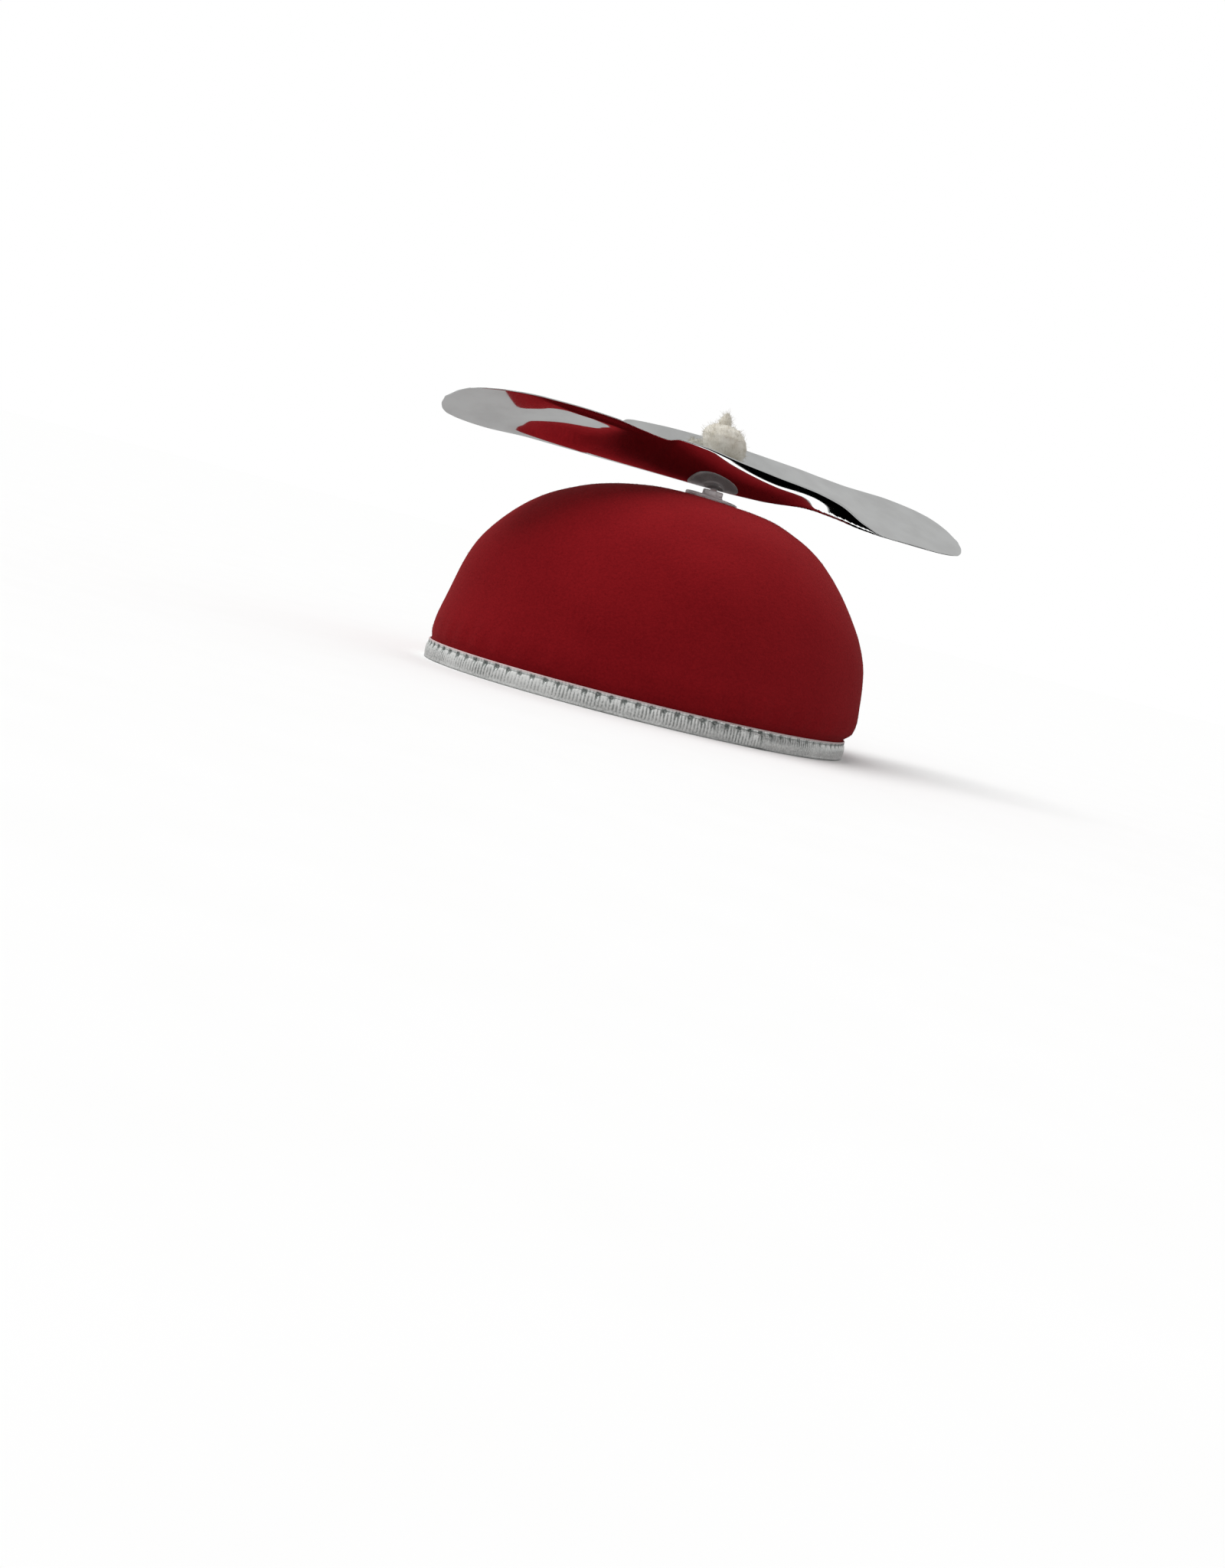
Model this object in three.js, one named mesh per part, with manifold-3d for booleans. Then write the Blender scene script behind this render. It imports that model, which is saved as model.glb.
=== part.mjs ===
// A moulded felt skullcap with a mirror-silver propeller that turns on its crown.
// Millimetres, +Z up. The origin is below the propeller's pin, on the surface that the rim rests on.
// The wearer looks along -Y, and the wearer's left hand is at +X.

import * as THREE from 'three';
import { mergeVertices } from 'three/addons/utils/BufferGeometryUtils.js';
import Module from 'manifold-3d';

const wasm = await Module();
wasm.setup();

// Felt cap
const rimLength = 189; // over the felt, front to back
const rimWidth = 158; // over the felt, side to side
const rimEgg = 0.05; // how far the wide part of the oval lies behind its middle, as a share
const crownHeight = 95; // from the surface that the rim rests on to the top of the felt
const feltThick = 2;
const dentDepth = 1.5; // the deepest hollow that handling has pressed into the felt
const seatGap = 0.3; // left between two pieces that touch

// Binding tape, folded over the felt's edge and sewn
const tapeThick = 1.1;
const bindingHeight = 8;
const overlapLength = 17; // where the tape's end lies over its start
const overlapTurn = 12.5; // degrees from the wearer's left towards the back, at the folded end
const foldLength = 4; // the squared fold at the tape's end
const foldThick = 1.7;

// Spindle: base flange, stem and pin in one moulding
const spindleBack = 11; // how far behind the middle of the rim it stands
const spindleLean = 2; // degrees towards the wearer's left
const flangeDiameter = 23.5;
const flangeThick = 2.3;
const flangeTilt = 4; // degrees down towards the back, as the soft flange lies on the felt
const flangeSink = 1.4; // how far the flange is drawn down into the felt
const stemDiameter = 9;
const stemHeight = 3.2;
const pinDiameter = 3;
const pinLength = 25; // above the stem
const postDiameter = 5; // through the felt
const nutDiameter = 18;
const nutThick = 2;

// Propeller: one bent sheet
const propellerLength = 257;
const bladeWidth = 44; // seen from above
const hubWidth = 29.5;
const bladeRise = 20; // from the sheet's valley to its highest edge
const sheetThick = 0.6;
const boreClearance = 0.4; // round the pin

// Tuft on the pin's end
const tuftWidth = 20.5;
const tuftHeight = 25.5; // from its foot to the top of its head
const tuftPeak = 30.5; // from its foot to the tip of its longest lock
const tuftFoot = 2.2; // from the sheet to the tuft's foot

// Sections of the felt above the binding. rise is a share of the height from the binding's top to the crown,
// front and back are shares of half the rim's length, and side is a share of half its width.
const capSections = [
  { rise: 0.0, front: 1.0, back: 1.0, side: 1.0 },
  { rise: 0.045, front: 1.005, back: 1.04, side: 1.02 },
  { rise: 0.11, front: 1.0, back: 1.05, side: 1.025 },
  { rise: 0.21, front: 0.985, back: 1.045, side: 1.01 },
  { rise: 0.35, front: 0.955, back: 1.025, side: 0.985 },
  { rise: 0.5, front: 0.9, back: 0.975, side: 0.935 },
  { rise: 0.63, front: 0.82, back: 0.9, side: 0.86 },
  { rise: 0.75, front: 0.715, back: 0.8, side: 0.755 },
  { rise: 0.85, front: 0.59, back: 0.68, side: 0.635 },
  { rise: 0.92, front: 0.45, back: 0.55, side: 0.5 },
  { rise: 0.97, front: 0.275, back: 0.41, side: 0.34 },
  { rise: 0.993, front: 0.13, back: 0.2, side: 0.165 },
  { rise: 1.0, front: 0.0, back: 0.0, side: 0.0 },
];

// Soft hollows and swellings. turn is in degrees from the wearer's left towards the back, rise is a share as above,
// deep is a share of the deepest hollow, and across and up are their half widths in degrees and as a share of the height.
const dents = [
  { turn: -78, rise: 0.27, deep: 0.8, across: 16, up: 0.1 },
  { turn: -62, rise: 0.52, deep: 0.6, across: 24, up: 0.12 },
  { turn: -20, rise: 0.68, deep: -0.5, across: 26, up: 0.14 },
  { turn: 12, rise: 0.4, deep: 0.5, across: 30, up: 0.16 },
  { turn: 62, rise: 0.62, deep: 0.9, across: 22, up: 0.14 },
  { turn: 105, rise: 0.3, deep: -0.5, across: 26, up: 0.16 },
  { turn: 150, rise: 0.55, deep: 0.7, across: 26, up: 0.16 },
  { turn: 205, rise: 0.34, deep: 0.6, across: 24, up: 0.15 },
  { turn: 248, rise: 0.6, deep: -0.6, across: 26, up: 0.14 },
];

// Sections across the sheet, from the front tip to the back one. along is a share of half the propeller's length, near and
// far are the heights of its left and its right edge as shares of the blade's rise, valley is where the lowest line
// runs as a share of half the width, from -1 at the right edge to 1 at the left one, low is how high that line lies,
// curl bends the sides up, and lip is the share of the left edge's height that turns up sharply at the edge.
const sheetSections = [
  { along: -1.0, near: 0.86, far: -0.04, valley: -1.0, low: -0.04, curl: 1.0, lip: 0.0 },
  { along: -0.8, near: 0.84, far: -0.05, valley: -1.0, low: -0.05, curl: 1.0, lip: 0.0 },
  { along: -0.62, near: 0.83, far: 0.0, valley: -1.0, low: 0.0, curl: 1.03, lip: 0.0 },
  { along: -0.5, near: 0.81, far: 0.04, valley: -0.9, low: 0.0, curl: 1.1, lip: 0.0 },
  { along: -0.4, near: 0.75, far: 0.5, valley: -0.72, low: 0.0, curl: 1.25, lip: 0.04 },
  { along: -0.3, near: 0.715, far: 0.96, valley: -0.5, low: 0.0, curl: 1.4, lip: 0.08 },
  { along: -0.25, near: 0.79, far: 1.0, valley: -0.42, low: 0.0, curl: 1.45, lip: 0.11 },
  { along: -0.15, near: 0.79, far: 1.04, valley: -0.25, low: 0.0, curl: 1.55, lip: 0.18 },
  { along: 0.0, near: 0.71, far: 1.06, valley: 0.0, low: 0.0, curl: 1.6, lip: 0.28 },
  { along: 0.15, near: 0.635, far: 1.035, valley: 0.44, low: 0.03, curl: 1.35, lip: 0.35 },
  { along: 0.3, near: 0.56, far: 1.01, valley: 0.83, low: 0.14, curl: 1.1, lip: 0.2 },
  { along: 0.4, near: 0.44, far: 0.99, valley: 0.92, low: 0.1, curl: 1.0, lip: 0.15 },
  { along: 0.5, near: 0.18, far: 0.95, valley: 0.96, low: 0.03, curl: 1.0, lip: 0.1 },
  { along: 0.62, near: 0.0, far: 0.92, valley: 1.0, low: 0.0, curl: 1.03, lip: 0.0 },
  { along: 0.8, near: 0.02, far: 0.95, valley: 1.0, low: 0.0, curl: 1.0, lip: 0.0 },
  { along: 1.0, near: 0.04, far: 0.98, valley: 1.0, low: 0.0, curl: 1.0, lip: 0.0 },
];
const lipSharpness = 9; // the power that bends the lip up

// How the front blade rises from its low edge to its high one, halfway between the hub and its tip.
const frontBlade = [
  { along: 0.0, height: 0.0 },
  { along: 0.25, height: 0.3 },
  { along: 0.45, height: 0.54 },
  { along: 0.6, height: 0.66 },
  { along: 0.75, height: 0.75 },
  { along: 0.93, height: 0.85 },
  { along: 1.0, height: 1.0 },
];

// Outline of one blade from the pin to its tip. high and low are how far its high and its low edge reach from the
// middle, as shares of half the blade's width. The other blade has the same outline turned half round.
const bladeOutline = [
  { along: 0.0, high: 1.0, low: 1.0 },
  { along: 0.5, high: 1.0, low: 1.0 },
  { along: 0.66, high: 0.98, low: 1.0 },
  { along: 0.76, high: 0.94, low: 1.0 },
  { along: 0.83, high: 0.85, low: 0.99 },
  { along: 0.89, high: 0.73, low: 0.95 },
  { along: 0.94, high: 0.56, low: 0.86 },
  { along: 0.967, high: 0.38, low: 0.72 },
  { along: 0.987, high: 0.14, low: 0.52 },
  { along: 1.0, high: -0.22, low: 0.26 },
];

// Locks of the tuft. turn is in degrees as above, slope is degrees up from level, reach is a share of half the tuft's
// width, thick is a share of that too, and bend turns the tip by so many degrees.
const locks = [
  { turn: 200, slope: 84, reach: 1.42, thick: 0.3, bend: 8 },
  { turn: -65, slope: 48, reach: 1.12, thick: 0.44, bend: 24 },
  { turn: -20, slope: 30, reach: 1.0, thick: 0.42, bend: -20 },
  { turn: 30, slope: 52, reach: 1.05, thick: 0.4, bend: 18 },
  { turn: 75, slope: 34, reach: 1.04, thick: 0.46, bend: -16 },
  { turn: 118, slope: 50, reach: 1.08, thick: 0.4, bend: 22 },
  { turn: 160, slope: 26, reach: 1.02, thick: 0.44, bend: -18 },
  { turn: 215, slope: 42, reach: 1.06, thick: 0.4, bend: 20 },
  { turn: 262, slope: 20, reach: 1.02, thick: 0.44, bend: -22 },
  { turn: 310, slope: 4, reach: 0.96, thick: 0.4, bend: 18 },
  { turn: 55, slope: 0, reach: 0.94, thick: 0.4, bend: 20 },
  { turn: 185, slope: -4, reach: 0.94, thick: 0.4, bend: 16 },
];

const ringTurns = 60; // the felt and its binding share their facets, so the gap between them stays even
const outerSteps = 2; // rows of facets from one section to the next, outside and inside
const innerSteps = 1;
const bladeRows = 41;
const bladeColumns = 12;

const radians = THREE.MathUtils.degToRad;
const lerp = THREE.MathUtils.lerp;

// Materials

const felt = new THREE.MeshStandardMaterial({ color: 0x85181c, roughness: 0.95, metalness: 0 });
const tape = new THREE.MeshStandardMaterial({ color: 0xaab0ac, roughness: 0.4, metalness: 0.7 });
const clearPlastic = new THREE.MeshStandardMaterial({ color: 0xc9a9a8, roughness: 0.25, metalness: 0 });
const mirrorSheet = new THREE.MeshStandardMaterial({ color: 0xc4c8c8, roughness: 0.1, metalness: 1 });
const whiteYarn = new THREE.MeshStandardMaterial({ color: 0xe2dac8, roughness: 0.95, metalness: 0 });

// Meshes and solids

// One closed skin over rings of points, each ring with as many points as the next. With loop the last ring joins the
// first one, and without it a fan closes each end ring, which is convex or a single point.
function skin(rings, loop = false) {
  const count = rings[0].length;
  const triangles = [];
  const spans = loop ? rings.length : rings.length - 1;
  for (let i = 0; i < spans; i++) {
    const ring = i * count;
    const next = ((i + 1) % rings.length) * count;
    for (let j = 0; j < count; j++) {
      const k = (j + 1) % count;
      triangles.push(ring + j, ring + k, next + k, ring + j, next + k, next + j);
    }
  }
  if (!loop) {
    const last = (rings.length - 1) * count;
    for (let j = 1; j < count - 1; j++) {
      triangles.push(0, j + 1, j, last, last + j, last + j + 1);
    }
  }
  const geometry = new THREE.BufferGeometry().setFromPoints(rings.flat());
  geometry.setIndex(triangles);
  return geometry;
}

// A solid for cutting and joining. Triangles without area are dropped, and the faces are turned to point out.
function solidOf(geometry) {
  const bare = geometry.clone();
  bare.deleteAttribute('normal');
  bare.deleteAttribute('uv');
  const merged = mergeVertices(bare, 1e-4);
  const position = merged.getAttribute('position').array;
  const index = merged.getIndex().array;
  const faces = [];
  let volume = 0;
  const corner = [new THREE.Vector3(), new THREE.Vector3(), new THREE.Vector3()];
  for (let i = 0; i < index.length; i += 3) {
    const [a, b, c] = [index[i], index[i + 1], index[i + 2]];
    if (a === b || b === c || c === a) continue;
    faces.push([a, b, c]);
    [a, b, c].forEach((vertex, n) => corner[n].fromArray(position, 3 * vertex));
    volume += corner[0].dot(corner[1].clone().cross(corner[2]));
  }
  const turned = volume < 0 ? faces.map(([a, b, c]) => [a, c, b]) : faces;
  return new wasm.Manifold(new wasm.Mesh({
    numProp: 3,
    vertProperties: new Float32Array(position),
    triVerts: new Uint32Array(turned.flat()),
  }));
}

function geometryOf(solid) {
  const mesh = solid.getMesh();
  const geometry = new THREE.BufferGeometry();
  geometry.setAttribute('position', new THREE.BufferAttribute(new Float32Array(mesh.vertProperties), 3));
  geometry.setIndex(new THREE.BufferAttribute(new Uint32Array(mesh.triVerts), 1));
  geometry.computeVertexNormals();
  return geometry;
}

function piece(name, solid, material) {
  const mesh = new THREE.Mesh(geometryOf(solid), material);
  mesh.name = name;
  return mesh;
}

// A turned solid from [radius, height] points that start and end on its axis, which is Z.
function turned(points, sides) {
  const outline = points.map(([radius, height]) => new THREE.Vector2(radius, height));
  return new THREE.LatheGeometry(outline, sides).rotateX(Math.PI / 2);
}

function rod(diameter, bottom, top, sides) {
  return turned([[0, bottom], [diameter / 2, bottom], [diameter / 2, top], [0, top]], sides);
}

// Felt cap

const feltEdge = tapeThick + seatGap; // the felt's lower edge stands on the fold of the tape
const capRows = [
  { z: feltEdge, front: 1, back: 1, side: 1 },
  { z: (feltEdge + bindingHeight) / 2, front: 1, back: 1, side: 1 },
  ...capSections.map(({ rise, front, back, side }) => (
    { z: lerp(bindingHeight, crownHeight, rise), front, back, side })),
];

// The slope at the middle one of three values. It is flat where they turn, so a curve through them never overshoots.
function easySlope(before, here, after) {
  const last = here - before;
  const next = after - here;
  return last * next > 0 ? (2 * last * next) / (last + next) : 0;
}

// A smooth curve through values that stand one step apart, read between two of them.
function smoothBetween(before, a, b, after, t) {
  return a * (1 + 2 * t) * (1 - t) ** 2 + easySlope(before, a, b) * t * (1 - t) ** 2
    + b * t * t * (3 - 2 * t) + easySlope(a, b, after) * t * t * (t - 1);
}

// A column of the cap's rows at a place between them. Past the crown the heights come back down and the reaches
// change sides, so the crown is round.
function columnAt(column, place) {
  const top = capRows.length - 1;
  const i = Math.min(Math.floor(place), top - 1);
  const value = (n) => {
    if (n <= top) return capRows[Math.max(n, 0)][column];
    const mirrored = capRows[2 * top - n][column];
    return column === 'z' ? mirrored : -mirrored;
  };
  return smoothBetween(value(i - 1), value(i), value(i + 1), value(i + 2), place - i);
}

function ovalPoint(front, back, side, turn) {
  const reach = Math.sin(turn) < 0 ? front : back;
  return new THREE.Vector2(
    (rimWidth / 2) * side * Math.cos(turn) * (1 + rimEgg * Math.sin(turn)),
    (rimLength / 2) * reach * Math.sin(turn),
  );
}

// How far handling has pressed the felt in. It fades out at the binding and under the flange.
function dentAt(turn, z) {
  const rise = (z - bindingHeight) / (crownHeight - bindingHeight);
  const fade = THREE.MathUtils.smoothstep(rise, 0.03, 0.22) * (1 - THREE.MathUtils.smoothstep(rise, 0.8, 0.93));
  let depth = 0;
  for (const dent of dents) {
    const across = Math.sin((turn - radians(dent.turn)) / 2) / Math.sin(radians(dent.across) / 2);
    const up = (rise - dent.rise) / dent.up;
    depth += dent.deep * Math.exp(-0.5 * (across ** 2 + up ** 2));
  }
  return dentDepth * depth * fade;
}

function smoothFeltPoint(turn, place) {
  const flat = ovalPoint(columnAt('front', place), columnAt('back', place), columnAt('side', place), turn);
  const fromSpindle = Math.hypot(flat.x, flat.y - spindleBack) / flangeDiameter;
  const height = columnAt('z', place);
  const drawnDown = height > crownHeight / 2 ? flangeSink * Math.exp(-4 * fromSpindle ** 2) : 0;
  return new THREE.Vector3(flat.x, flat.y, height - drawnDown);
}

function feltNormal(turn, place) {
  if (place > capRows.length - 1.001) return new THREE.Vector3(0, 0, 1);
  const step = 1e-3;
  const round = smoothFeltPoint(turn + step, place).sub(smoothFeltPoint(turn - step, place));
  const up = smoothFeltPoint(turn, place + step).sub(smoothFeltPoint(turn, Math.max(place - step, 0)));
  return round.cross(up).normalize();
}

// A point of the felt's outer face, or of a face that lies outset from it.
function feltPoint(turn, place, outset = 0) {
  const point = smoothFeltPoint(turn, place);
  return point.addScaledVector(feltNormal(turn, place), outset - dentAt(turn, point.z));
}

function turnsOf(count) {
  return Array.from({ length: count }, (_, i) => (2 * Math.PI * i) / count);
}

function feltRings(steps, outset) {
  const count = (capRows.length - 1) * steps + 1;
  return Array.from({ length: count }, (_, i) => (
    turnsOf(ringTurns).map((turn) => feltPoint(turn, i / steps, outset))));
}

// All the space under a face that lies outset from the felt's outer face.
function domeSolid(outset) {
  return solidOf(skin(feltRings(outerSteps, outset)));
}

// Where the spindle stands on the felt, along the cap's middle behind the crown.
function crownPoint() {
  let [low, high] = [capRows.length / 2, capRows.length - 1];
  for (let i = 0; i < 40; i++) {
    const middle = (low + high) / 2;
    if (smoothFeltPoint(Math.PI / 2, middle).y > spindleBack) low = middle;
    else high = middle;
  }
  return smoothFeltPoint(Math.PI / 2, high);
}

const spindleFrame = new THREE.Matrix4()
  .makeRotationY(radians(spindleLean))
  .setPosition(crownPoint());

function inSpindleFrame(geometry) {
  return solidOf(geometry.clone().applyMatrix4(spindleFrame));
}

const hubLevel = flangeThick + stemHeight + seatGap; // the sheet's lower face at the pin, above the felt
const postBottom = -(feltThick + 2 * seatGap + nutThick + 1);

function capShell() {
  const outer = feltRings(outerSteps, 0);
  const inner = feltRings(innerSteps, -feltThick).reverse();
  const hole = inSpindleFrame(rod(postDiameter + 2 * seatGap, -4 * feltThick, 4 * feltThick, 20));
  return solidOf(skin([...outer, ...inner], true)).subtract(hole);
}

// Binding

const tapeIn = -(feltThick + seatGap + tapeThick);
const tapeOut = seatGap + tapeThick;
const tapeRound = 0.8; // radius of the tape's lower edges

function rimPoint(turn, outset, z) {
  const step = 1e-3;
  const here = ovalPoint(1, 1, 1, turn);
  const tangent = ovalPoint(1, 1, 1, turn + step).sub(ovalPoint(1, 1, 1, turn - step)).normalize();
  return new THREE.Vector3(here.x + tangent.y * outset, here.y - tangent.x * outset, z);
}

function rimBinding() {
  const section = [
    [tapeIn + tapeRound, 0],
    [tapeOut - tapeRound, 0],
    [tapeOut - tapeRound / 4, tapeRound / 3],
    [tapeOut, tapeRound * 1.3],
    [tapeOut, bindingHeight - tapeThick / 2],
    [tapeOut - tapeThick / 3, bindingHeight],
    [seatGap, bindingHeight],
    [seatGap, tapeThick],
    [-feltThick - seatGap, tapeThick],
    [-feltThick - seatGap, bindingHeight],
    [tapeIn + tapeThick / 3, bindingHeight],
    [tapeIn, bindingHeight - tapeThick / 2],
    [tapeIn, tapeRound],
  ];
  const rings = turnsOf(ringTurns).map((turn) => section.map(([outset, z]) => rimPoint(turn, outset, z)));
  return solidOf(skin(rings, true));
}

// The tape's folded end, which lies on the outside of the binding and thins out towards the front.
function bindingEnd() {
  const bottom = tapeRound * 1.6;
  const top = bindingHeight - tapeThick / 2;
  const inside = tapeOut + seatGap;
  const degreesEach = 360 / (Math.PI * (rimLength + rimWidth) / 2); // along the rim, for one millimetre
  const stations = [
    { back: overlapLength, thick: tapeThick * 0.35 },
    { back: overlapLength * 0.75, thick: tapeThick * 0.8 },
    { back: overlapLength * 0.5, thick: tapeThick },
    { back: foldLength + 0.8, thick: tapeThick },
    { back: foldLength, thick: foldThick },
    { back: foldLength / 2, thick: foldThick },
    { back: 0.3, thick: foldThick },
    { back: 0, thick: foldThick * 0.8 },
  ];
  const rings = stations.map(({ back, thick }) => {
    const turn = radians(overlapTurn - back * degreesEach);
    const edge = Math.min(0.5, thick / 2);
    return [
      rimPoint(turn, inside, bottom),
      rimPoint(turn, inside + thick - edge, bottom),
      rimPoint(turn, inside + thick, bottom + edge),
      rimPoint(turn, inside + thick, top - edge),
      rimPoint(turn, inside + thick - edge, top),
      rimPoint(turn, inside, top),
    ];
  });
  return solidOf(skin(rings));
}

// Spindle

function spindle() {
  const edge = flangeThick * 0.35;
  const flange = turned([
    [0, -flangeThick],
    [flangeDiameter / 2, -flangeThick],
    [flangeDiameter / 2, flangeThick - 2 * edge],
    [flangeDiameter / 2 - edge, flangeThick - edge / 3],
    [stemDiameter / 2 + 1.4, flangeThick],
    [0, flangeThick],
  ], 28).rotateX(-radians(flangeTilt));
  const stem = turned([
    [0, 0],
    [stemDiameter / 2 + 1.2, 0],
    [stemDiameter / 2 + 1.2, flangeThick],
    [stemDiameter / 2, flangeThick + 1],
    [stemDiameter / 2, flangeThick + stemHeight - 0.4],
    [stemDiameter / 2 - 0.4, flangeThick + stemHeight],
    [pinDiameter / 2, flangeThick + stemHeight],
    [pinDiameter / 2, flangeThick + stemHeight + pinLength - 0.5],
    [pinDiameter / 2 - 0.5, flangeThick + stemHeight + pinLength],
    [0, flangeThick + stemHeight + pinLength],
  ], 24);
  const post = rod(postDiameter, postBottom, flangeThick / 2, 20);
  return inSpindleFrame(flange)
    .add(inSpindleFrame(stem))
    .subtract(domeSolid(seatGap))
    .add(inSpindleFrame(post));
}

function spindleNut() {
  const disc = rod(nutDiameter, postBottom + 1, 0, 24);
  const bore = rod(postDiameter + 2 * seatGap, postBottom - 1, 1, 20);
  return inSpindleFrame(disc)
    .intersect(domeSolid(-(feltThick + seatGap)))
    .subtract(inSpindleFrame(bore));
}

// Propeller

// A column of a table whose rows stand at their own places along the sheet.
function alongAt(table, column, along) {
  const last = table.length - 1;
  let i = table.findIndex((row) => row.along >= along) - 1;
  i = THREE.MathUtils.clamp(i < -1 ? last - 1 : i, 0, last - 1);
  const value = (n) => table[THREE.MathUtils.clamp(n, 0, last)][column];
  const t = THREE.MathUtils.clamp((along - table[i].along) / (table[i + 1].along - table[i].along), 0, 1);
  return smoothBetween(value(i - 1), value(i), value(i + 1), value(i + 2), t);
}

// The middle of the sheet's thickness, over its valley line. across runs from -1 on the wearer's right to 1 on the
// left, over half the blade's width, and along from -1 at the front tip to 1 at the back one.
function sheetPoint(across, along) {
  const valley = alongAt(sheetSections, 'valley', along);
  const left = across > valley;
  const fromValley = left ? (across - valley) / (1 - valley) : (valley - across) / (1 + valley);
  const share = THREE.MathUtils.clamp(fromValley || 0, 0, 1);
  const lip = left ? alongAt(sheetSections, 'lip', along) : 0;
  const curled = lerp(share ** alongAt(sheetSections, 'curl', along), share ** lipSharpness, lip);
  const bent = left ? THREE.MathUtils.smoothstep(-along, 0.35, 0.5) - THREE.MathUtils.smoothstep(-along, 0.6, 0.8) : 0;
  const rise = lerp(curled, alongAt(frontBlade, 'height', share), bent);
  const low = alongAt(sheetSections, 'low', along);
  return new THREE.Vector3(
    (bladeWidth / 2) * across * waistAt(along),
    (propellerLength / 2) * along,
    bladeRise * lerp(low, alongAt(sheetSections, left ? 'near' : 'far', along), rise),
  );
}

// The sheet is drawn together at the hub.
function waistAt(along) {
  return lerp(hubWidth / bladeWidth, 1, THREE.MathUtils.smoothstep(Math.abs(along), 0, 0.45));
}

function sheetNormal(across, along) {
  const step = 2e-3;
  const sideways = sheetPoint(across + step, along).sub(sheetPoint(across - step, along));
  const lengthways = sheetPoint(across, along + step).sub(sheetPoint(across, along - step));
  return sideways.cross(lengthways).normalize();
}

function propeller() {
  const rings = [];
  for (let i = 0; i <= bladeRows; i++) {
    const share = (2 * i) / bladeRows - 1;
    const along = 1.4 * share - 0.4 * share ** 3;
    const high = alongAt(bladeOutline, 'high', Math.abs(along));
    const low = alongAt(bladeOutline, 'low', Math.abs(along));
    const [left, right] = along < 0 ? [-low, high] : [-high, low];
    const face = (side) => Array.from({ length: bladeColumns + 1 }, (_, j) => {
      const across = lerp(left, right, j / bladeColumns);
      const point = sheetPoint(across, along);
      return point.addScaledVector(sheetNormal(across, along), (side * sheetThick) / 2);
    });
    rings.push([...face(-1), ...face(1).reverse()]);
  }
  const lift = hubLevel + sheetThick / 2;
  const sheet = skin(rings).translate(0, 0, lift);
  const bore = rod(pinDiameter + 2 * boreClearance, lift - 3, lift + 3, 24);
  return inSpindleFrame(sheet).subtract(inSpindleFrame(bore));
}

// Tuft

// A lock that tapers from the middle of the tuft to its tip and bends on the way.
function lock({ turn, slope, reach, thick, bend }, middle) {
  const half = tuftWidth / 2;
  const length = half * reach;
  const steps = 6;
  const sides = 7;
  const rings = [];
  const place = new THREE.Vector3(0, 0, middle);
  for (let i = 0; i <= steps; i++) {
    const share = i / steps;
    const heading = radians(turn + bend * share);
    const rise = radians(slope);
    const forward = new THREE.Vector3(
      Math.cos(heading) * Math.cos(rise),
      Math.sin(heading) * Math.cos(rise),
      Math.sin(rise),
    );
    const aside = new THREE.Vector3(-Math.sin(heading), Math.cos(heading), 0);
    const over = forward.clone().cross(aside);
    const radius = half * thick * Math.sqrt(1 - 0.94 * share ** 2);
    rings.push(Array.from({ length: sides }, (_, j) => {
      const angle = (2 * Math.PI * j) / sides;
      return place.clone()
        .addScaledVector(aside, radius * Math.cos(angle))
        .addScaledVector(over, radius * Math.sin(angle));
    }));
    place.addScaledVector(forward, length / steps);
  }
  return skin(rings);
}

function topTuft() {
  const foot = hubLevel + sheetThick + tuftFoot;
  const half = tuftWidth / 2;
  const head = turned([
    [0, foot],
    [half * 0.27, foot],
    [half * 0.36, foot + tuftHeight * 0.08],
    [half * 0.56, foot + tuftHeight * 0.26],
    [half * 0.8, foot + tuftHeight * 0.5],
    [half * 0.86, foot + tuftHeight * 0.68],
    [half * 0.74, foot + tuftHeight * 0.86],
    [half * 0.38, foot + tuftHeight * 0.98],
    [0, foot + tuftHeight],
  ], 14);
  const middle = foot + tuftHeight * 0.68;
  let tuft = inSpindleFrame(head);
  locks.forEach((row, i) => {
    const tall = i === 0 ? (tuftPeak - tuftHeight * 0.68) / (half * row.reach) : 1;
    tuft = tuft.add(inSpindleFrame(lock({ ...row, reach: row.reach * tall }, middle)));
  });
  const pinTop = flangeThick + stemHeight + pinLength + seatGap;
  return tuft.subtract(inSpindleFrame(rod(pinDiameter + 2 * seatGap, 0, pinTop, 16)));
}

// The pieces are made about the middle of the rim, and the group stands the spindle over the origin.
const beanie = new THREE.Group();
beanie.position.y = -spindleBack;
beanie.add(
  piece('cap_shell', capShell(), felt),
  piece('rim_binding', rimBinding(), tape),
  piece('binding_end', bindingEnd(), tape),
  piece('spindle', spindle(), clearPlastic),
  piece('spindle_nut', spindleNut(), clearPlastic),
  piece('propeller', propeller(), mirrorSheet),
  piece('top_tuft', topTuft(), whiteYarn),
);

export default beanie;
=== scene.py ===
import math
import random

import bpy
import numpy as np
from mathutils import Matrix, Vector
from mathutils.bvhtree import BVHTree


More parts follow.
